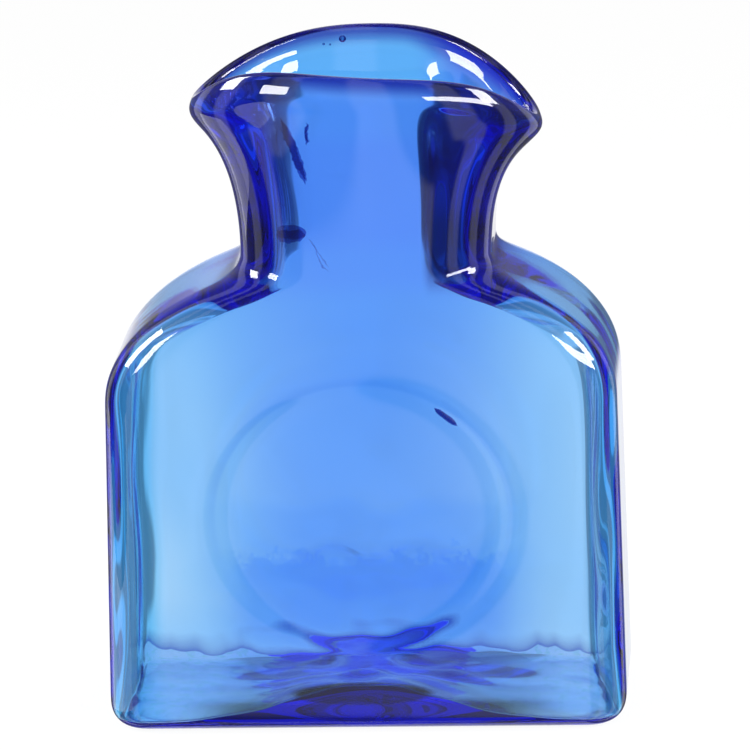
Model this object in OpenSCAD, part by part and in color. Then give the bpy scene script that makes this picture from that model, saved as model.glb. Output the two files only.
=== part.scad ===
// Water bottle of blown glass: a flat square body with a pressed dish on each broad face,
// a short waist and a wide lip drawn out into a pouring spout on either side.
// The glass is one wall that runs from the pushed-up base to the rounded lip and back down
// inside. X is the width, Y the depth and Z the height. The origin is the middle of the foot.

/* [Body] */
// Width across the two narrow sides, just above the heel
body_w = 156; // [140:1:180]
// Width where the straight sides end and the shoulders begin
shoulder_w = 153; // [130:1:175]
// Depth between the two broad faces, just above the heel
body_d = 76; // [66:1:96]
// Depth between the two broad faces at the shoulders
shoulder_d = 72; // [64:1:90]
// Height at which the shoulders begin to curve inwards
wall_h = 100; // [80:1:110]
// Height of the crown, where the shoulders have run into the neck
crown_h = 142; // [130:1:150]
// Radius of the four upright corners
corner_r = 12; // [10:0.5:18]
// Radius of the heel, between the walls and the foot
heel_r = 7; // [4:0.5:9]
// How much longer than corner_r the rounded shoulder edge gets near the neck
ridge_run = 14; // [4:1:20]

/* [Dishes] */
// Width of the shallow dish on each broad face
dish_w = 92; // [60:1:100]
// Height of the dish from its lower to its upper edge
dish_h = 84; // [50:1:90]
// Height of the middle of the dish above the foot
dish_z = 66; // [58:1:70]
// How far the dish is pressed in
dish_depth = 2; // [0.5:0.25:4]
// Width of the soft slope around the dish
dish_edge = 9; // [6:0.5:16]

/* [Neck] */
// Width of the waist, the narrowest part of the neck
waist_w = 74; // [60:1:84]
// Depth of the waist
waist_d = 70; // [60:1:72]
// Corner radius of the waist
waist_r = 19; // [14:1:24]
// Softness of the hollow between the shoulders and the waist
root_blend = 8; // [4:0.5:10]
// Height below the crown in which the body draws in to the waist
root_h = 20; // [10:1:30]
// Height above the crown that the waist keeps pulling upright
waist_pull = 50; // [30:1:54]
// Height under the lip over which the flare turns upright again
lip_pull = 14; // [10:0.5:20]

/* [Lip] */
// Height of the lip at the middle of its front and back
rim_h = 203; // [195:1:220]
// Width of the lip from spout to spout
lip_w = 109; // [95:1:125]
// Depth of the lip
lip_d = 79; // [70:1:90]
// Thickness of the rounded lip
lip_t = 6; // [4:0.5:7]
// Fullness of the lip seen from above: 2 is an ellipse, more is squarer
lip_fullness = 2; // [1.8:0.05:2.6]
// How far the lip dips from its middle to the spouts
spout_dip = 17.5; // [8:0.5:24]
// How much the left spout stands above level, and the right one below
spout_lift = 3.4; // [0:0.1:6]
// How far the front of the lip sinks in its middle
front_sag = 3; // [0:0.5:6]
// How far the back of the lip swells up towards the right
back_swell = 3.3; // [0:0.1:5]
// How far the mouth stands to the right of the foot
mouth_shift = 2.4; // [-4:0.1:4]

/* [Glass] */
// Thickness of the walls and the shoulders
wall = 4; // [3:0.25:5]
// Thickness of the glass at the front and back of the waist
waist_t = 5; // [3.5:0.25:6]
// Thickness of the glass at the two sides of the waist
waist_side_t = 10; // [7:0.5:11]
// Thickness of the floor at its two ends
floor_t = 3.5; // [3:0.5:6]
// How much higher the floor is in the middle, where it swells from front to back
floor_swell = 11; // [6:0.5:12]
// Width of the swell
swell_w = 64; // [50:1:80]
// Radius inside, between the walls and the floor
inner_heel_r = 6; // [4:0.5:12]
// How far the middle of the base is pushed up
kick_h = 6; // [2:0.5:8]
// Width of the flat ring that the bottle stands on
foot_w = 6; // [4:0.5:10]

/* [Hidden] */

// facets of a quarter of a ring: half the narrow side, the corner, half the broad face
side_n = 4;
corner_n = 5;
face_n = 7;
quarter_n = side_n + corner_n + face_n;
around_n = 4 * quarter_n;
// steps up the bottle
kick_n = 4;
heel_n = 4;
wall_n = 11;
shoulder_n = 12;
neck_n = 10;
lip_n = 4;
// how sharply the back and the front of the lip fall to the spouts
back_power = 2.6;
front_power = 4.5;
// height above the crown at which the neck has all of its shift
shift_run = 8;
// The sides of the neck are thicker than its front and back. Shares of waist_w from the
// middle between which they thicken,
aside_from = 0.17;
aside_to = 0.42;
// height over which they thicken, and how much of it lies below the crown,
thicken_run = 14;
thicken_lead = 10;
// and the shares of the way from the crown to the lip between which they thin again
thin_from = 0.35;
thin_to = 0.75;
// smallest straight stretch that a quarter of a ring keeps
least_flat = 2;

heel_a = body_w / 2 - heel_r;
heel_b = body_d / 2 - heel_r;
kick_a = heel_a - foot_w;
kick_b = heel_b - foot_w;
foot_r = corner_r / 2;
neck_h = rim_h - lip_t / 2 - crown_h;

function smooth(t) = let (c = max(0, min(1, t))) c * c * (3 - 2 * c);
function mix(from, to, t) = from + (to - from) * t;
function soft_max(p, q, soft) = (p + q + sqrt((p - q) * (p - q) + soft * soft)) / 2;
function unit(v) = v / norm(v);

// A level is one ring of the bottle: [height, half width, half depth, corner size in X,
// corner size in Y, share of the way from the crown to the lip, share of an oval in its
// outline, which is otherwise a rectangle with rounded corners].
function level(z, a, b, rx, ry, up = 0, oval = 0) =
    [z, a, b, min(rx, a - least_flat), min(ry, b - least_flat), up, oval];

// The base swells across the middle of its width: share of its full height at a given X
function swell(x) = exp(-pow(2 * x / swell_w, 2));
// Underside, from its middle to the inner edge of the foot, and the floor inside
function kick_z(x, share) = kick_h * swell(x) * (1 - smooth(share));
function floor_z(x) = floor_t + floor_swell * swell(x);

// A ring of the underside or the floor: an ellipse near the middle, the outline of the foot
// at its edge
function base_level(a, b, r, share) =
    let (square = pow(share, 3))
    [0, a * share, b * share, share * r, share * r, 0, 1 - square];

// Heel: a quarter circle from the foot to the wall
function heel_levels() = [
    for (i = [0:heel_n]) let (t = 90 * i / heel_n, in = heel_r * (1 - sin(t)))
        level(heel_r * (1 - cos(t)), body_w / 2 - in, body_d / 2 - in,
            corner_r - in, corner_r - in)
];

function half_depth(z) =
    let (body = mix(body_d, shoulder_d, smooth((z - heel_r) / (wall_h - heel_r))),
         draw_in = smooth((z - crown_h + root_h) / root_h))
    mix(body, waist_d, draw_in) / 2;

function wall_levels() = [
    for (i = [1:wall_n]) let (s = i / wall_n, z = mix(heel_r, wall_h, s))
        level(z, mix(body_w, shoulder_w, s) / 2, half_depth(z), corner_r, corner_r)
];

// Shoulders: a quarter ellipse that runs into the waist
function shoulder_level(t) =
    let (z = mix(wall_h, crown_h, sin(t)),
         a = soft_max(shoulder_w / 2 * cos(t), waist_w / 2, root_blend * smooth(t / 45)),
         round_off = smooth((z - crown_h + root_h / 2) / (root_h / 2)))
    level(z, a, half_depth(z), mix(corner_r + ridge_run * pow(sin(t), 4), waist_r, round_off),
        mix(corner_r, waist_r, round_off));
function shoulder_levels() = [for (i = [1:shoulder_n]) shoulder_level(90 * i / shoulder_n)];

// Neck: a Bezier curve, upright at the waist and upright again at the lip
function neck_levels() =
    let (foot = shoulder_level(90))
    [for (i = [1:neck_n])
        let (t = i / neck_n,
             up = 3 * t * pow(1 - t, 2) * waist_pull / neck_h
                + 3 * t * t * (1 - t) * (1 - lip_pull / neck_h) + pow(t, 3),
             a = mix(foot[1], lip_w / 2, smooth(t)),
             b = mix(foot[2], lip_d / 2, smooth(t)))
        level(crown_h, a, b, waist_r, waist_r, up, smooth(t))];

// One quarter of a ring as points in X and Y, from the narrow side to the broad face
function rounded_quarter(a, b, rx, ry) = concat(
    [for (i = [0:side_n - 1]) [a, (b - ry) * i / side_n]],
    [for (i = [0:corner_n - 1]) let (t = 90 * i / corner_n)
        [a - rx + rx * cos(t), b - ry + ry * sin(t)]],
    [for (i = [0:face_n - 1]) [(a - rx) * (1 - i / face_n), b]],
    [[0, b]]);
function oval_quarter(a, b) = [
    for (i = [0:quarter_n]) let (t = 90 * i / quarter_n)
        [a * pow(cos(t), 2 / lip_fullness), b * pow(sin(t), 2 / lip_fullness)]
];
function ring(lv) =
    let (q = mix(rounded_quarter(lv[1], lv[2], lv[3], lv[4]), oval_quarter(lv[1], lv[2]), lv[6]),
         n = quarter_n)
    concat([for (i = [0:n - 1]) q[i]],
        [for (i = [n:-1:1]) [-q[i].x, q[i].y]],
        [for (i = [0:n - 1]) -q[i]],
        [for (i = [n:-1:1]) [q[i].x, -q[i].y]]);

// Height of the lip, for u from -1 at the left spout to 1 at the right one
function lip_z(u, at_back) =
    rim_h - lip_t / 2 - spout_lift * u
    + (at_back ? back_swell * (1 - u * u) * u - spout_dip * pow(abs(u), back_power)
       : -front_sag - (spout_dip - front_sag) * pow(abs(u), front_power));

function shift(z) = mouth_shift * smooth((z - wall_h) / (crown_h + shift_run - wall_h));

// How far a point of a broad face is pressed in by its dish
function pressed(x, z) =
    let (away = norm([2 * x / dish_w, 2 * (z - dish_z) / dish_h]))
    dish_depth * smooth((1 - away) * dish_h / 2 / dish_edge);

// Puts a flat ring of points into place on the bottle
function place(lv, p) =
    let (u = p.x / lv[1],
         z = mix(lv[0], lip_z(u, p.y > 0), lv[5]),
         y = p.y - sign(p.y) * (lv[5] > 0 ? 0 : pressed(p.x, z)))
    [p.x + shift(z), y, z];
function placed(levels) = [for (lv = levels) [for (p = ring(lv)) place(lv, p)]];

outer = placed(concat(heel_levels(), wall_levels(), shoulder_levels(), neck_levels()));
top_i = len(outer) - 1;

// Outward direction of the outer surface at a point of it
function along(i, j) =
    outer[min(i + 1, top_i)][j] - outer[max(i - 1, 0)][j];
function outward(i, j) =
    let (next = (j + 1) % around_n, last = (j + around_n - 1) % around_n)
    unit(cross(outer[i][next] - outer[i][last], along(i, j)));

// Thickness of the wall at a point of a ring: the sides of the neck are the thickest
shoulder_i = heel_n + wall_n + shoulder_n;
function thickness(i, p) =
    let (up = (i - shoulder_i) / neck_n,
         even = up <= 0 ? mix(wall, waist_t, smooth((i - heel_n - wall_n) / shoulder_n))
             : mix(waist_t, lip_t, smooth(up)),
         aside = smooth((abs(p.x - mouth_shift) / waist_w - aside_from) / (aside_to - aside_from)),
         thicken = smooth((p.z - crown_h + thicken_lead) / thicken_run),
         thin = smooth((up - thin_from) / (thin_to - thin_from)))
    even + (waist_side_t - waist_t) * aside * thicken * (1 - thin);

// The lip is a half circle from the outer to the inner surface
lip = [
    for (k = [1:lip_n - 1]) let (t = 180 * k / lip_n)
        [for (j = [0:around_n - 1])
            let (n = outward(top_i, j), up = unit(along(top_i, j)))
            outer[top_i][j] + lip_t / 2 * (n * (cos(t) - 1) + up * sin(t))]
];

// Inner surface of the neck, shoulders and walls, from the lip down
inner_from = [
    for (i = [0:top_i]) if (outer[i][0].z > floor_z(0) + inner_heel_r) i
][0];
inner = [
    for (i = [top_i:-1:inner_from])
        [for (j = [0:around_n - 1]) outer[i][j] - thickness(i, outer[i][j]) * outward(i, j)]
];

// Inner heel and floor
in_a = body_w / 2 - wall;
in_b = body_d / 2 - wall;
inner_heel = [
    for (i = [0:heel_n])
        let (t = 90 * i / heel_n, in = inner_heel_r * (1 - cos(t)),
             r = max(corner_r - wall - in / 2, 1),
             up = inner_heel_r * (1 - sin(t)),
             lv = level(floor_t + up, in_a - in, in_b - in, r, r))
        [for (p = ring(lv)) let (q = place(lv, p)) [q.x, q.y, floor_z(q.x) + up]]
];
floor_a = in_a - inner_heel_r;
floor_b = in_b - inner_heel_r;
inner_floor = [
    for (i = [kick_n - 1:-1:1]) let (s = i / kick_n)
        [for (p = ring(base_level(floor_a, floor_b, foot_r, s))) [p.x, p.y, floor_z(p.x)]]
];

underside = [
    for (i = [1:kick_n]) let (s = i / kick_n)
        [for (p = ring(base_level(kick_a, kick_b, foot_r, s))) [p.x, p.y, kick_z(p.x, s)]]
];

// All rings in one order, from the middle of the underside, up outside, over the lip and
// down inside to the middle of the floor
rings = concat(underside, outer, lip, inner, inner_heel, inner_floor);

module shell(rings) {
    last = len(rings) - 1;
    middle_below = [0, 0, kick_z(0, 0)];
    middle_above = [0, 0, floor_z(0)];
    points = concat([for (r = rings) each r], [middle_below, middle_above]);
    below_i = len(points) - 2;
    above_i = len(points) - 1;
    polyhedron(points, concat(
        [for (j = [0:around_n - 1]) [below_i, j, (j + 1) % around_n]],
        [for (i = [0:last - 1], j = [0:around_n - 1])
            let (k = (j + 1) % around_n, low = i * around_n, high = low + around_n)
            each [[low + j, high + j, high + k], [low + j, high + k, low + k]]],
        [for (j = [0:around_n - 1])
            [above_i, last * around_n + (j + 1) % around_n, last * around_n + j]]));
}

module glass_bottle() {
    color([0.25, 0.5, 1, 0.5]) shell(rings);
}

glass_bottle();
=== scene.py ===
"""Looks of the blown-glass water bottle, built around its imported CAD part."""
import math

import bpy
import numpy as np
from mathutils import Matrix, Vector

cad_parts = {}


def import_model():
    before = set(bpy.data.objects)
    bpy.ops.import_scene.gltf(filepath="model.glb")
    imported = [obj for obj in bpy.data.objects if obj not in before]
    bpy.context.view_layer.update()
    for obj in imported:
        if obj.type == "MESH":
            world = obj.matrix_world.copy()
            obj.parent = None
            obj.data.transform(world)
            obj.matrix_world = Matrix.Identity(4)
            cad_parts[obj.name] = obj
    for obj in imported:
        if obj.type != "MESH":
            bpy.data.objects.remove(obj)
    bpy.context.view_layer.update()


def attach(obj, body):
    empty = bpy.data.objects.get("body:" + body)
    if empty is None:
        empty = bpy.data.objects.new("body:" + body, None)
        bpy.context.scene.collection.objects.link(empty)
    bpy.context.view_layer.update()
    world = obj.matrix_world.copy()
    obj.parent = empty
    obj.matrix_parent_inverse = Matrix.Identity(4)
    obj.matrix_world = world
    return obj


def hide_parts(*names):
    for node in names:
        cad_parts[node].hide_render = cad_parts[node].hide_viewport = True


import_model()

MM = 0.001

# ---------------------------------------------------------------- shape, in millimetres
BODY_W, SHOULDER_W, BODY_D, SHOULDER_D = 155.6, 153.0, 75.6, 72.0
WALL_H, CROWN_H, CORNER_R, HEEL_R, RIDGE_RUN = 100.0, 142.0, 12.0, 7.0, 14.0
DISH_W, DISH_H, DISH_Z, DISH_DEPTH, DISH_EDGE = 92.0, 84.0, 66.0, 2.4, 4.5
WAIST_W, WAIST_D, WAIST_R, ROOT_BLEND, ROOT_H = 74.0, 70.0, 19.0, 8.0, 20.0
WAIST_PULL, LIP_PULL = 50.0, 14.0
RIM_H, LIP_W, LIP_D, LIP_T, FULLNESS = 203.0, 109.0, 78.6, 6.0, 2.0
SPOUT_DIP, SPOUT_LIFT, BACK_SWELL, MOUTH_SHIFT, DIP_POWER = 17.5, 3.4, 3.3, 2.4, 2.6
FRONT_SAG, FRONT_POWER, SHIFT_H = 3.0, 4.5, 150.0
# the rim thins over its last part; the thick sides of the neck lie beside a middle
ROLL_H, ROLL_IN, PANEL_X = 9.0, 2.4, -2.0
EDGE_T = LIP_T - ROLL_IN
FLOOR_T, FLOOR_SWELL, SWELL_W = 3.2, 10.6, 63.0
KICK_H, FOOT_W, KICK_R, LEAST_FLAT = 6.0, 6.0, 6.0, 2.0
# the wall at its thinnest, and what its upper part, its middle and its outer ends have more
THIN_T, UPPER_T, MIDDLE_T, ENDS_T = 2.0, 0.5, 3.1, 1.3
UPPER_H, UPPER_RUN, MIDDLE_HALF, ENDS_X, ENDS_RUN = 20.0, 70.0, 48.0, 66.0, 10.0
# the middle is a little thinner behind the dish
DISH_THINNER, DISH_FADE = 0.15, 25.0
# the waist, and its sides: where they start as a share of its width, and the way up they end
WAIST_T, WAIST_FROM, WAIST_RUN, WAIST_SIDE_T = 6.0, 112.0, 36.0, 10.5
SIDE_SHARE, SIDE_RUN, SIDE_ROOT, SIDE_END = 0.29, 0.17, 10.0, 0.40
# depth of the slow swells, of the ripples in the neck, of the lumps and of the folds
SWELL_T, RIPPLE_T, LUMP_T, FOLD_T = 0.3, 0.25, 0.16, 0.35
# the lower part of the dish is thicker, below a wavy edge
LOW_DISH_T, LOW_DISH_H, LOW_DISH_WAVE = 1.2, 55.0, 2.5
# waves in the glass: their size, the number of plane waves in them and their seed
SWELLS, RIPPLES, LUMPS, FOLDS = (46, 14, 11), (8, 12, 23), (9, 16, 17), (10, 12, 41)
LOW_EDGE, FLOOR_LUMPS = (24, 8, 3), (16, 12, 31)
# the inside of the foot: half sizes and corner, the even roll and the folds that stand on it
IN_A, IN_B, IN_R = BODY_W / 2 - 2.9, BODY_D / 2 - 3.4, CORNER_R - 3.4
INSET, INSET_BACK, CREEP, FOLD_H = 1.6, 1.4, 0.8, 6.5
# the folds: sizes of their spikes and seed, and the low part in their middle
SPIKES, SPIKE_SEED, FOLD_LOW, FOLD_LOW_HALF = (31, 17, 9), 5, 0.9, 26.0
# depth of the lumps in the floor: everywhere, and more on its middle
LUMP_FLOOR, LUMP_HEAP, HEAP_HALF = 0.14, 0.5, 28.0
# the inner wall is kept down to this far above the floor, and a skirt leads on from there
SKIRT_H, SKIRT_N = 9.0, 6
# rings beside the rim that share its colour: everywhere, and more at the back right
RIM_RUN, RIM_RUN_MORE = 10, 18
# facets: half a narrow side, a corner, half a broad face; then steps up the bottle
SIDE_N, CORNER_N, FACE_N = 16, 20, 44
QUARTER_N = SIDE_N + CORNER_N + FACE_N
AROUND_N = 4 * QUARTER_N
KICK_N, HEEL_N, WALL_N, SHOULDER_N, NECK_N, LIP_N = 16, 10, 96, 52, 60, 16
NECK_H = RIM_H - LIP_T / 2 - CROWN_H


def smooth(t):
    t = np.clip(t, 0, 1)
    return t * t * (3 - 2 * t)


def after(value, start, run):
    """Smooth step from 0 at the start to 1 one run further."""
    return smooth((value - start) / run)


def before(value, end, run):
    """Smooth step from 1 one run before the end to 0 at the end."""
    return smooth((end - value) / run)


def hump(value, half, power=2):
    """1 in the middle, falling off to both sides; flatter with a higher power."""
    return np.exp(-((value / half) ** power))


def mix(a, b, t):
    return a + (b - a) * t


def soft_max(p, q, soft):
    return (p + q + np.sqrt((p - q) ** 2 + soft * soft)) / 2


def unit(v):
    return v / np.linalg.norm(v, axis=-1, keepdims=True)


def half_depth(z):
    body = mix(BODY_D, SHOULDER_D, smooth((z - HEEL_R) / (WALL_H - HEEL_R)))
    return mix(body, WAIST_D, smooth((z - CROWN_H + ROOT_H) / ROOT_H)) / 2


def levels():
    """Rings of the outer surface: height, half width, half depth, corner sizes, way to the lip."""
    t = np.radians(90) * np.arange(HEEL_N + 1) / HEEL_N
    inset = HEEL_R * (1 - np.sin(t))
    r = CORNER_R - inset
    heel = [HEEL_R * (1 - np.cos(t)), BODY_W / 2 - inset, BODY_D / 2 - inset, r, r, 0 * t]
    s = np.arange(1, WALL_N + 1) / WALL_N
    z = mix(HEEL_R, WALL_H, s)
    r = CORNER_R + 0 * z
    wall = [z, mix(BODY_W, SHOULDER_W, s) / 2, half_depth(z), r, r, 0 * z]
    t = np.radians(90) * np.arange(1, SHOULDER_N + 1) / SHOULDER_N
    z = mix(WALL_H, CROWN_H, np.sin(t))
    a = soft_max(SHOULDER_W / 2 * np.cos(t), WAIST_W / 2, ROOT_BLEND * smooth(t / np.radians(45)))
    off = smooth((z - CROWN_H + ROOT_H / 2) / (ROOT_H / 2))
    shoulder = [z, a, half_depth(z), mix(CORNER_R + RIDGE_RUN * np.sin(t) ** 4, WAIST_R, off),
                mix(CORNER_R, WAIST_R, off), 0 * z]
    t = np.arange(1, NECK_N + 1) / NECK_N
    neck = [CROWN_H + 0 * t, mix(a[-1], LIP_W / 2, smooth(t)),
            mix(half_depth(CROWN_H), LIP_D / 2, smooth(t)), WAIST_R + 0 * t, WAIST_R + 0 * t, t]
    return np.concatenate([np.stack(q, 1) for q in (heel, wall, shoulder, neck)])


def quarter(a, b, rx, ry):
    """A quarter of a rounded rectangle, from the narrow side to the broad face."""
    a, b = a[:, None], b[:, None]
    rx, ry = np.minimum(rx[:, None], a - LEAST_FLAT), np.minimum(ry[:, None], b - LEAST_FLAT)
    i, j, k = np.arange(SIDE_N), np.arange(CORNER_N), np.arange(FACE_N + 1)
    t = np.radians(90) * j / CORNER_N
    x = np.concatenate([a + 0 * i, a - rx + rx * np.cos(t), (a - rx) * (1 - k / FACE_N)], 1)
    y = np.concatenate([(b - ry) * i / SIDE_N, b - ry + ry * np.sin(t), b + 0 * k], 1)
    return np.stack([x, y], -1)


def oval(a, b):
    t = np.radians(90) * np.arange(QUARTER_N + 1) / QUARTER_N
    c, s = np.maximum(np.cos(t), 0) ** (2 / FULLNESS), np.sin(t) ** (2 / FULLNESS)
    return np.stack([a[:, None] * c, b[:, None] * s], -1)


def all_round(q):
    n = QUARTER_N
    return np.concatenate([q[:, :n], q[:, n:0:-1] * [-1, 1], -q[:, :n], q[:, n:0:-1] * [1, -1]], 1)


def relax(grid, passes):
    """Evens out a grid of rings around and upwards, its two end rings only around."""
    g = grid.copy()
    for _ in range(passes):
        ring = (np.roll(g, 1, 1) + np.roll(g, -1, 1)) / 2 - g
        row = np.zeros_like(g)
        row[1:-1] = (g[2:] + g[:-2]) / 2 - g[1:-1]
        g = g + 0.5 * (ring + row)
    return g


def waves(points, size, count, seed):
    """Smooth seeded noise of about -1 to 1, made of plane waves of about the given size."""
    r = np.random.default_rng(seed)
    d = unit(r.normal(size=(count, 3)))
    k = d * (2 * math.pi / size) * r.uniform(0.6, 1.5, (count, 1))
    ph = r.uniform(0, 2 * math.pi, count)
    return np.sin(points @ k.T + ph).sum(-1) / math.sqrt(count / 2) / 1.6


def swell(x):
    """Height of the heap in the floor, and of the push-up below it, as a share."""
    return np.exp(-((2 * x / SWELL_W) ** 2))


def normals(g):
    """Outward directions of a grid of rings that runs upwards."""
    around = np.roll(g, -1, 1) - np.roll(g, 1, 1)
    up = np.empty_like(g)
    up[1:-1] = g[2:] - g[:-2]
    up[0], up[-1] = g[1] - g[0], g[-1] - g[-2]
    return unit(np.cross(around, up)), unit(up)


lv = levels()
to_lip = lv[:, 5:]
up = (3 * to_lip * (1 - to_lip) ** 2 * WAIST_PULL / NECK_H
      + 3 * to_lip * to_lip * (1 - to_lip) * (1 - LIP_PULL / NECK_H) + to_lip ** 3)
plan = mix(all_round(quarter(*lv[:, 1:5].T)), all_round(oval(lv[:, 1], lv[:, 2])),
           smooth(to_lip)[..., None])
x, y = plan[..., 0], plan[..., 1]
u = x / lv[:, 1:2]
back_z = BACK_SWELL * (1 - u * u) * u - SPOUT_DIP * np.abs(u) ** DIP_POWER
front_z = -FRONT_SAG - (SPOUT_DIP - FRONT_SAG) * np.abs(u) ** FRONT_POWER
lip_z = RIM_H - EDGE_T / 2 - SPOUT_LIFT * u + np.where(y > 0, back_z, front_z)
z = mix(lv[:, :1], lip_z, up)
roll = ROLL_IN * (1 - np.clip((lip_z - z) / ROLL_H, 0, 1)) ** 2
x, y = x - roll * x / np.hypot(x, y), y - roll * y / np.hypot(x, y)
away = np.hypot(2 * x / DISH_W, 2 * (z - DISH_Z) / DISH_H)
pressed = np.where(to_lip > 0, 0, DISH_DEPTH * smooth((1 - away) * DISH_H / 2 / DISH_EDGE))
y = y - np.sign(y) * pressed
x = x + MOUTH_SHIFT * after(z, WALL_H, SHIFT_H - WALL_H)
outer = relax(np.stack([x, y, z], -1), 6)
nrm, rise = normals(outer)

# thickness of the glass: the broad faces are thick in their middle and thin beside it,
# and the sides of the neck are the thickest
px, py, pz = outer[..., 0], outer[..., 1], outer[..., 2]
middle = hump(px, MIDDLE_HALF) * (1 - DISH_THINNER * hump(pz - DISH_Z, DISH_FADE))
ends = after(np.abs(px), ENDS_X, ENDS_RUN)
wall_t = THIN_T + UPPER_T * after(pz, UPPER_H, UPPER_RUN) + MIDDLE_T * middle + ENDS_T * ends
thick = mix(mix(wall_t, WAIST_T, after(pz, WAIST_FROM, WAIST_RUN)), LIP_T, smooth(to_lip))
aside = after(np.abs(px - PANEL_X) / WAIST_W, SIDE_SHARE, SIDE_RUN)
neck_side = aside * after(pz, CROWN_H - SIDE_ROOT, 14) * (1 - after(to_lip, SIDE_END, SIDE_END))
thick = thick + (WAIST_SIDE_T - WAIST_T) * neck_side
# slow swells below the lip, and upright ripples in the sides of the neck
thick = thick + SWELL_T * waves(outer, *SWELLS) * (1 - smooth(to_lip * 1.5))
ripples = aside * waves(outer * (1, 1, 0.2), *RIPPLES)
thick = thick + RIPPLE_T * ripples * after(to_lip, 0, 0.1) * (1 - after(to_lip, 0.5, 0.3))
# the thicker lower part of the dish, and small lumps in it
low_edge = LOW_DISH_H + LOW_DISH_WAVE * waves(outer * (1, 0, 0), *LOW_EDGE)
thick = thick + LOW_DISH_T * before(pz, low_edge, 2.5) * after(pz, 22, 10) * hump(px, 42, 4)
thick = thick + LUMP_T * waves(outer, *LUMPS) * before(pz, 64, 10) * hump(px, 45, 4)
# folds that run down the narrow sides and over the shoulders
folds = waves(outer * (0.15, 1, 0.2), *FOLDS)
thick = thick + FOLD_T * folds * after(np.abs(px), 44, 14) * before(pz, 130, 24)
thick = thick - roll

inner = relax(outer - thick[..., None] * nrm, 4)
inner[-1] = outer[-1] - EDGE_T * nrm[-1]
keep = np.argmax(outer[:, 0, 2] > FLOOR_T + FLOOR_SWELL + SKIRT_H)
inner = inner[keep:][::-1]

arc = (np.pi * np.arange(1, LIP_N) / LIP_N)[:, None, None]
lip = outer[-1] + EDGE_T / 2 * (nrm[-1] * (np.cos(arc) - 1) + rise[-1] * np.sin(arc))


def base_rings(a, b, r, shares):
    """Rings that shrink from a rounded rectangle to an oval in the middle of the base."""
    a, b, r = a * shares, b * shares, r * shares
    round_share = (1 - shares ** 3)[:, None, None]
    return mix(all_round(quarter(a, b, r, r)), all_round(oval(a, b)), round_share)


def floor_height(x, y):
    """Height of the floor inside, which is lumpiest on the heap in its middle."""
    lump = waves(np.stack([x, y, 0 * x], -1), *FLOOR_LUMPS)
    return FLOOR_T + FLOOR_SWELL * swell(x) + lump * (LUMP_FLOOR + LUMP_HEAP * hump(x, HEAP_HALF, 4))


def spikes(x, sizes, seed):
    """Jagged line of 0 to about 1, with sharp tops."""
    r = np.random.default_rng(seed)
    total = 0 * x
    for size in sizes:
        total = total + size * (1 - np.abs(2 * ((x / size + r.uniform()) % 1) - 1)) ** 1.6
    return total / sum(sizes)


# where the floor meets the wall: a small even roll in front, jagged chilled folds at the back
t = np.radians(90) * np.arange(HEEL_N + 1) / HEEL_N
plan = all_round(quarter(*[np.array([q]) for q in (IN_A, IN_B, IN_R, IN_R)]))[0]
at_back = after(plan[:, 1], 10, 18)
low_middle = 1 - FOLD_LOW * hump(plan[:, 0], FOLD_LOW_HALF, 4)
jagged = spikes(plan[:, 0], SPIKES, SPIKE_SEED) * low_middle
creep = CREEP + at_back * FOLD_H * jagged
inset = INSET + INSET_BACK * at_back
inner_heel = []
for step in t:
    shrink = 1 - inset * (1 - np.cos(step)) / np.hypot(*plan.T)
    hx, hy = plan[:, 0] * shrink, plan[:, 1] * shrink
    hz = floor_height(hx, hy) + creep * (1 - np.sin(step))
    inner_heel.append(np.stack([hx, hy, hz], -1))
inner_heel = np.array(inner_heel)
shares = np.arange(KICK_N - 1, 0, -1)[:, None] / KICK_N
hx, hy = inner_heel[-1, :, 0] * shares, inner_heel[-1, :, 1] * shares
floor = np.stack([hx, hy, floor_height(hx, hy)], -1)
skirt = np.array([mix(inner[-1], inner_heel[0], q / SKIRT_N) for q in range(1, SKIRT_N)])

shares = np.arange(1, KICK_N + 1) / KICK_N
plan = base_rings(BODY_W / 2 - HEEL_R - FOOT_W, BODY_D / 2 - HEEL_R - FOOT_W, KICK_R, shares)
kick = KICK_H * swell(plan[..., 0]) * (1 - smooth(shares))[:, None]
under = np.stack([plan[..., 0], plan[..., 1], kick], -1)

grid = np.concatenate([under, outer, lip, inner, skirt, inner_heel, floor])
grid[..., 2] -= grid[..., 2].min()

# how much each point belongs to the floor, to the rim and to the painted shade along the chilled
# folds
floor_share, rim_share, fold_shade_share = np.zeros((3, *grid.shape[:2]))
fold_i = len(grid) - len(floor) - len(inner_heel)
floor_share[fold_i + 1:] = 1.0
fold_shade_share[fold_i - 1:fold_i + 1] = at_back * [[0.5], [1.0]]
fold_shade_share[fold_i + 1:fold_i + len(inner_heel)] = 0.3 * at_back
top_i = len(under) + len(outer)
rim_share[top_i:top_i + len(lip)] = 1.0
back_right = after(outer[-1, :, 0], 12, 20) * after(outer[-1, :, 1], 0, 8)
rim_run = RIM_RUN + RIM_RUN_MORE * back_right
for step in range(1, RIM_RUN + RIM_RUN_MORE):
    faded = smooth((rim_run - step) / rim_run)
    rim_share[top_i - step] = rim_share[top_i + len(lip) + step - 1] = faded

n = AROUND_N
count = len(grid)
verts = np.concatenate([grid.reshape(-1, 3), [grid[0].mean(0), grid[-1].mean(0)]]) * MM
i, j = np.meshgrid(np.arange(count - 1), np.arange(n), indexing="ij")
k = (j + 1) % n
quads = np.stack([i * n + j, i * n + k, (i + 1) * n + k, (i + 1) * n + j], -1).reshape(-1, 4)
below, above, last = count * n, count * n + 1, (count - 1) * n
j = np.arange(n)
k = (j + 1) % n
faces = quads.tolist() + [(below, int(q), int(p)) for p, q in zip(j, k)] + [
    (above, last + int(p), last + int(q)) for p, q in zip(j, k)]

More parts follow.
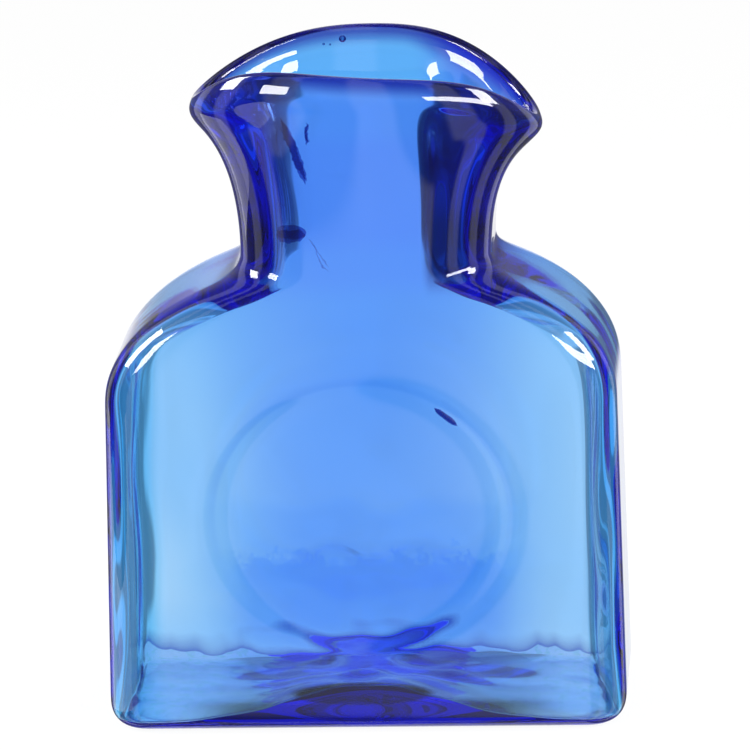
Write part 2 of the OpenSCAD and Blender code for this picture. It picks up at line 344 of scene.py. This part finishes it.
# seeds: small bubbles in the middle of the back wall, given by place across, height and radius
SEEDS = ((-7.2, 198.6, 1.15), (-27.4, 193.5, 0.5), (-12.6, 197.0, 0.4),
         (-10.6, 196.4, 0.35), (31.0, 190.0, 0.45))
SEED_ROWS, SEED_COLS = 8, 14
a = np.pi * np.arange(1, SEED_ROWS)[:, None] / SEED_ROWS
b = 2 * np.pi * np.arange(SEED_COLS)[None, :] / SEED_COLS
ball = np.stack([np.sin(a) * np.cos(b), np.sin(a) * np.sin(b), np.cos(a) + 0 * b], -1)
ball = np.concatenate([ball.reshape(-1, 3), [[0, 0, 1], [0, 0, -1]]])
for sx, sz, radius in SEEDS:
    far = np.where(py > 0, np.hypot(px - sx, pz - sz), np.inf)
    at = np.unravel_index(np.argmin(far), far.shape)
    centre = outer[at] - nrm[at] * thick[at] / 2
    start = len(verts)
    verts = np.concatenate([verts, (ball * radius + centre) * MM])
    pole, end = start + (SEED_ROWS - 1) * SEED_COLS, start + (SEED_ROWS - 2) * SEED_COLS
    for j in range(SEED_COLS):
        k = (j + 1) % SEED_COLS
        faces += [(pole, start + k, start + j), (pole + 1, end + j, end + k)]
        for row in range(start, end, SEED_COLS):
            faces.append((row + j, row + k, row + SEED_COLS + k, row + SEED_COLS + j))

mesh = bpy.data.meshes.new("glass_body")
mesh.from_pydata(verts.tolist(), [], faces)
mesh.shade_smooth()
for name, share, at_centre in (("floor_glass", floor_share, 1.0), ("rim_glass", rim_share, 0.0),
                               ("fold_shade_glass", fold_shade_share, 0.0)):
    values = np.zeros(len(verts))
    values[:share.size] = share.ravel()
    values[above] = at_centre
    mesh.attributes.new(name, "FLOAT", "POINT").data.foreach_set("value", values)
bottle = bpy.data.objects.new("glass_body", mesh)
bpy.context.scene.collection.objects.link(bottle)

# ---------------------------------------------------------------- materials
# white screens all round, in degrees, and the light between, above and below them
SCREEN_STEP, SCREEN_TURN, SCREEN_HALF, SCREEN_EDGE = 45.0, 3.5, 9.5, 2.5
GAP, SKY, GROUND = 0.42, 0.8, 0.6
# between the screens, the light is dimmer overhead and where the glass mirrors it
OVERHEAD, MIRRORED = 0.6, 0.4
# light that falls on matt surfaces, and how plainly the floor shows its own white
MATT_LEVEL, FLOOR_PLAIN, FLOOR_PALE, FLOOR_HALF = 0.6, 0.92, 0.88, 6.0
GLASS_COLOUR, GLASS_DENSITY, GLASS_IOR = (0.0, 0.6, 0.98, 1), 190.0, 1.5


class Nodes:
    """Short calls for building a node tree."""

    def __init__(self, tree):
        self.tree = tree

    def put(self, socket, value):
        if isinstance(value, bpy.types.NodeSocket):
            self.tree.links.new(value, socket)
        elif value is not None:
            socket.default_value = value

    def add(self, kind, *values, out=0, **settings):
        node = self.tree.nodes.new("ShaderNode" + kind)
        for name, value in settings.items():
            setattr(node, name, value)
        for socket, value in zip(node.inputs, values):
            self.put(socket, value)
        return node.outputs[out]

    def math(self, operation, *values, **more):
        return self.add("Math", *values, operation=operation, **more)

    def minus(self, value, less):
        return self.math("SUBTRACT", value, less)

    def times(self, value, *others):
        """Product of two or more numbers."""
        for other in others:
            value = self.math("MULTIPLY", value, other)
        return value

    def ramp(self, value, low, high, at_low, at_high):
        """Smooth step of a value between two levels."""
        return self.add("MapRange", value, low, high, at_low, at_high,
                        interpolation_type="SMOOTHSTEP")

    def mix(self, factor, low, high):
        """Two numbers or two colours mixed by a factor."""
        node = self.tree.nodes.new("ShaderNodeMix")
        colours = any(isinstance(v, tuple) or getattr(v, "type", "") == "RGBA" for v in (low, high))
        node.data_type = "RGBA" if colours else "FLOAT"
        first = 6 if colours else 2
        self.put(node.inputs[0], factor)
        for slot, value in ((first, low), (first + 1, high)):
            self.put(node.inputs[slot], (*value, 1) if isinstance(value, tuple) else value)
        return node.outputs[2 if colours else 0]

    def split(self, vector):
        node = self.tree.nodes.new("ShaderNodeSeparateXYZ")
        self.put(node.inputs[0], vector)
        return node.outputs

    def screens(self, direction):
        """How much of a white screen is seen in a direction, and the height of that direction."""
        dx, dy, dz = self.split(direction)
        turn = self.math("ADD", self.math("ARCTAN2", dx, dy), math.radians(SCREEN_TURN))
        turn = self.math("DIVIDE", turn, math.radians(SCREEN_STEP))
        off = self.math("ABSOLUTE", self.minus(turn, self.math("ROUND", turn)))
        low, high = SCREEN_HALF - SCREEN_EDGE, SCREEN_HALF + SCREEN_EDGE
        return self.ramp(off, low / SCREEN_STEP, high / SCREEN_STEP, 1.0, 0.0), dz

    def seen(self, *kinds):
        """1 or 0 for rays of each kind: Camera, Transmission through glass, Diffuse from matt."""
        node = self.tree.nodes.new("ShaderNodeLightPath")
        return [node.outputs[f"Is {kind} Ray"] for kind in kinds]


glass = bpy.data.materials.new("cobalt_glass")
glass.use_nodes = True
nd = Nodes(glass.node_tree)
shader = nd.tree.nodes["Principled BSDF"]
for name, value in (("Roughness", 0.0), ("IOR", GLASS_IOR), ("Transmission Weight", 1.0)):
    shader.inputs[name].default_value = value
nd.put(nd.tree.nodes["Material Output"].inputs["Volume"],
       nd.add("VolumeAbsorption", GLASS_COLOUR, GLASS_DENSITY))

# thick places look more violet, and some darker marks below are painted shade: the colour of the
# glass by place, in millimetres
spot = nd.add("VectorMath", nd.add("TexCoord", out=3), (1 / MM,) * 3, operation="MULTIPLY")
gx, gy, gz = nd.split(spot)
across = nd.math("ABSOLUTE", nd.minus(gx, MOUTH_SHIFT))
beside = nd.math("ABSOLUTE", nd.minus(gx, PANEL_X))
front = nd.ramp(gy, -2.0, 2.0, 1.0, 0.0)
behind = nd.minus(1.0, front)
right = nd.ramp(gx, 14, 34, 0.0, 1.0)
back_right = nd.times(right, behind)
jag = nd.minus(nd.add("TexNoise", spot, None, 0.12, 3.0, 0.7), 0.5)
grain = nd.add("TexNoise", spot, None, 0.30, 3.0, 0.6)


def band(low_z, up_z, soft_z=10.0):
    """1 between two heights."""
    rise = nd.ramp(gz, low_z - soft_z, low_z, 0.0, 1.0)
    return nd.times(rise, nd.ramp(gz, up_z, up_z + soft_z, 1.0, 0.0))


def zone(low_z, up_z, from_x, to_x, soft_z=10.0):
    """1 between two heights and beyond a distance from the middle."""
    return nd.times(band(low_z, up_z, soft_z), nd.ramp(across, from_x, to_x, 0.0, 1.0))


def oval_way(mid_x, mid_z, half_w, half_h):
    """Way from the middle of an upright oval, 1 on its edge."""
    way_x = nd.math("DIVIDE", nd.minus(gx, mid_x), half_w)
    way_z = nd.math("DIVIDE", nd.minus(gz, mid_z), half_h)
    return nd.add("VectorMath", nd.add("CombineXYZ", way_x, None, way_z), operation="LENGTH", out=1)


def streak(x0, z0, x1, z1, wide, wave=1.2):
    """1 on a wavy streak of the front between two places."""
    long = math.hypot(x1 - x0, z1 - z0)
    dx, dz = (x1 - x0) / long, (z1 - z0) / long
    rx, rz = nd.minus(gx, x0), nd.minus(gz, z0)
    along = nd.math("ADD", nd.times(rx, dx), nd.times(rz, dz))
    side = nd.minus(nd.times(rx, dz), nd.times(rz, dx))
    side = nd.math("ADD", side, nd.times(jag, wave * 4))
    part = nd.math("ABSOLUTE", nd.minus(nd.times(along, 2 / long), 1.0))
    reach = nd.times(nd.minus(1.0, nd.math("POWER", part, 4.0)), wide)
    near = nd.minus(reach, nd.math("ABSOLUTE", side))
    return nd.times(nd.ramp(near, 0.0, 0.35, 0.0, 1.0), front)


def share_of(name):
    """How much a point belongs to a named part of the glass."""
    return nd.add("Attribute", attribute_name=name, out=2)


# painted shade: dark strokes in the neck and a dark mark on the ring of the dish: two ends, half
# width and waviness
STROKES = ((-20.5, 187, -13.5, 167, 1.5), (-12.6, 186, -12.4, 179, 0.6),
           (-23, 152, -14, 152, 2.4), (-14, 151, -7, 140, 0.3), (22.5, 99, 29.5, 93.5, 1.1, 0.2))
STROKE_SHADE_PAINTED = (0.03, 0.05, 0.30)
low_z = nd.math("ADD", gz, nd.times(jag, 26.0))
low_dish = nd.times(nd.ramp(low_z, 53, 53.6, 1.0, 0.0), nd.ramp(gz, 22, 34, 0.0, 1.0),
                    nd.ramp(across, 34, 46, 1.0, 0.0), front)
dish_way = oval_way(0.0, DISH_Z, DISH_W / 2, DISH_H / 2)
# a painted shade line on the edge of the dish, over its real dent, clearest at its top
dish_edge_painted_line = nd.times(nd.ramp(dish_way, 0.945, 0.965, 0.0, 1.0),
                     nd.ramp(dish_way, 0.975, 1.03, 1.0, 0.0), front, nd.ramp(gz, 50, 100, 0.25, 1.0))
# painted shade on the thick foot, seen from the front, darkest under the kick-up
foot_painted_shade = nd.times(nd.ramp(gz, 8.5, 10.5, 1.0, 0.0), nd.ramp(across, 38, 60, 1.0, 0.0), front)
kick_up_painted_shade = nd.times(nd.ramp(oval_way(-1.0, 12.0, 23.0, 3.6), 0.8, 1.0, 1.0, 0.0), front)
inside = share_of("floor_glass")
heap_edge = nd.math("ADD", beside, nd.times(jag, 22.0))

# each layer covers the ones before it where its mask is 1
layers = [
    # the middle of the bottle, its narrow sides, the neck and the back of the lip
    (nd.ramp(across, 20, 58, 1.0, 0.0), (0.86, 0.87, 1.0)),
    (zone(-20, 128, 66, 74), (0.45, 0.88, 1.0)),
    (band(140, 176), (0.84, 0.80, 1.0)),
    (nd.times(band(179, 220, 3), behind), (0.34, 0.70, 1.0)),
    # the thick sides of the neck, darkened further by painted shade; the front of the lip, its back
    # right, and painted shade under the right spout
    # painted shade on the sides of the neck, darker than their thicker glass alone makes them
    (nd.times(band(142, 172), nd.ramp(beside, 21.5, 25, 0.0, 1.0)), (0.08, 0.15, 0.36)),
    (nd.times(zone(160, 220, 16, 34), front), (0.24, 0.20, 0.80)),
    (nd.times(band(188, 220, 12), back_right), (0.30, 0.45, 0.95)),
    # painted shade under the right spout
    (nd.times(zone(172, 186, 34, 42, 6), front, right), (0.04, 0.05, 0.32)),
    (share_of("rim_glass"), nd.mix(back_right, (0.07, 0.09, 0.46), (0.04, 0.03, 0.56))),
    (low_dish, (0.62, 0.76, 1.0)),
    # painted shade: the dark strokes in the neck and the mark on the dish ring
    *((streak(*stroke), STROKE_SHADE_PAINTED) for stroke in STROKES),
    # painted shade: a dark line along the chilled folds where the floor meets the wall
    (share_of("fold_shade_glass"), (0.02, 0.05, 0.36)),
    # painted shade on the edge of the dish
    (dish_edge_painted_line, (0.72, 0.80, 0.98)),
    # painted shade on the foot and under the kick-up
    (foot_painted_shade, (0.40, 0.42, 0.36)),
    (kick_up_painted_shade, (0.10, 0.11, 0.09)),
    # the speckled floor, and the violet heap in its middle
    (inside, nd.mix(nd.ramp(grain, 0.50, 0.60, 0.0, 0.8), (0.50, 0.56, 0.88), (0.26, 0.50, 0.66))),
    (nd.times(inside, nd.ramp(heap_edge, 27.7, 28.3, 1.0, 0.0)), (0.02, 0.012, 0.92)),
]
colour = (0.92, 0.96, 1.0)
for mask, tint in layers:
    colour = nd.mix(mask, colour, tint)
nd.put(shader.inputs["Base Color"], colour)
mesh.materials.append(glass)
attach(bottle, "root")
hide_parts("glass_bottle")

# ---------------------------------------------------------------- floor and light
ground = bpy.data.meshes.new("floor")
corners = [(x * FLOOR_HALF, y * FLOOR_HALF, 0) for x, y in ((-1, -1), (1, -1), (1, 1), (-1, 1))]
ground.from_pydata(corners, [], [(0, 1, 2, 3)])
floor_obj = bpy.data.objects.new("floor", ground)
bpy.context.scene.collection.objects.link(floor_obj)
floor_obj.visible_transmission = False
floor_obj.visible_glossy = False

pale = bpy.data.materials.new("pale_floor")
pale.use_nodes = True
nd = Nodes(pale.node_tree)
nd.tree.nodes.remove(nd.tree.nodes["Principled BSDF"])
camera_ray, through = nd.seen("Camera", "Transmission")
glow = nd.add("Emission", (1, 1, 1, 1), 1.0)
diffuse = nd.add("BsdfDiffuse", (FLOOR_PALE, FLOOR_PALE, FLOOR_PALE, 1))
share = nd.times(nd.math("MAXIMUM", camera_ray, through), FLOOR_PLAIN)
nd.put(nd.tree.nodes["Material Output"].inputs["Surface"], nd.add("MixShader", share, diffuse, glow))
ground.materials.append(pale)

world = bpy.data.worlds.new("studio")
bpy.context.scene.world = world
world.use_nodes = True
nd = Nodes(world.node_tree)
camera_ray, through, scattered = nd.seen("Camera", "Transmission", "Diffuse")
screens, height = nd.screens(nd.add("TexCoord"))
upper, lower = nd.ramp(height, -0.05, 0.20, GAP, SKY), nd.ramp(height, -0.85, -0.65, GROUND, GAP)
between = nd.times(nd.math("MAXIMUM", upper, lower), nd.ramp(height, 0.30, 0.60, 1.0, OVERHEAD),
                   nd.mix(through, MIRRORED, 1.0))
sky = nd.mix(screens, between, 1.0)
level = nd.math("MAXIMUM", camera_ray, nd.mix(scattered, sky, MATT_LEVEL))
background = nd.tree.nodes["Background"]
nd.put(background.inputs["Color"], (1, 1, 1, 1))
nd.put(background.inputs["Strength"], level)

# soft lamps: azimuth from the front and elevation in degrees, size in metres, radiance
LAMP_AIM, LAMP_DISTANCE = Vector((0, 0, 0.12)), 1.3
LAMPS = (
    # two higher ones at the sides for the shoulders, and two lower ones for the lip
    ("lamp_left", -92, 28, 0.44, 0.56, 20),
    ("lamp_right", 84, 26, 0.38, 0.50, 20),
    ("lamp_lip_left", -46, 16, 0.40, 0.42, 20),
    ("lamp_lip_right", 56, 15, 1.20, 0.24, 20),
    # a wide dim glow from below, mirrored as a veil over the left spout
    ("glow_left", -88, -23, 1.9, 0.36, 1.5),
)
for name, azimuth, elevation, width, height, radiance in LAMPS:
    az, el = math.radians(azimuth), math.radians(elevation)
    way = Vector((math.sin(az) * math.cos(el), -math.cos(az) * math.cos(el), math.sin(el)))
    data = bpy.data.lights.new(name, "AREA")
    data.shape = "RECTANGLE"
    data.size, data.size_y = width, height
    data.energy = radiance * math.pi * width * height
    lamp = bpy.data.objects.new(name, data)
    lamp.location = LAMP_AIM + way * LAMP_DISTANCE
    lamp.rotation_euler = way.to_track_quat("Z", "Y").to_euler()
    lamp.visible_transmission = False
    bpy.context.scene.collection.objects.link(lamp)

# ---------------------------------------------------------------- camera
PITCH, YAW, ROLL = math.radians(13.372), math.radians(-3.797), math.radians(-1.562)
DISTANCE, TARGET_X, TARGET_Z, FOCAL = 2155.07, 2.98, 101.149, 7157.13
FRAME_PX, SENSOR, CLIP_END = 750, 36.0, 50


def turned(v):
    """A direction or place turned by the yaw about the upright axis."""
    c, s = math.cos(YAW), math.sin(YAW)
    return Vector((v[0] * c + v[1] * s, -v[0] * s + v[1] * c, v[2]))


eye = turned((TARGET_X, -DISTANCE * math.cos(PITCH), TARGET_Z + DISTANCE * math.sin(PITCH)))
right = turned((1, 0, 0))
upward = turned((0, math.sin(PITCH), math.cos(PITCH)))
back = turned((0, -math.cos(PITCH), math.sin(PITCH)))
cr, sr = math.cos(ROLL), math.sin(ROLL)
right, upward = right * cr + upward * sr, upward * cr - right * sr
pose = Matrix.Identity(4)
for col, v in enumerate((right, upward, back, eye * MM)):
    for row in range(3):
        pose[row][col] = v[row]
camera_data = bpy.data.cameras.new("camera")
camera_data.sensor_width = SENSOR
camera_data.lens = FOCAL * SENSOR / FRAME_PX
camera_data.clip_end = CLIP_END
camera = bpy.data.objects.new("camera", camera_data)
camera.matrix_world = pose
bpy.context.scene.collection.objects.link(camera)
bpy.context.scene.camera = camera
bpy.context.scene.view_settings.view_transform = "Standard"
# light turns inside the thick glass many times before it leaves
LIGHT_TURNS = 32
cycles = bpy.context.scene.cycles
cycles.max_bounces = cycles.glossy_bounces = cycles.transmission_bounces = LIGHT_TURNS
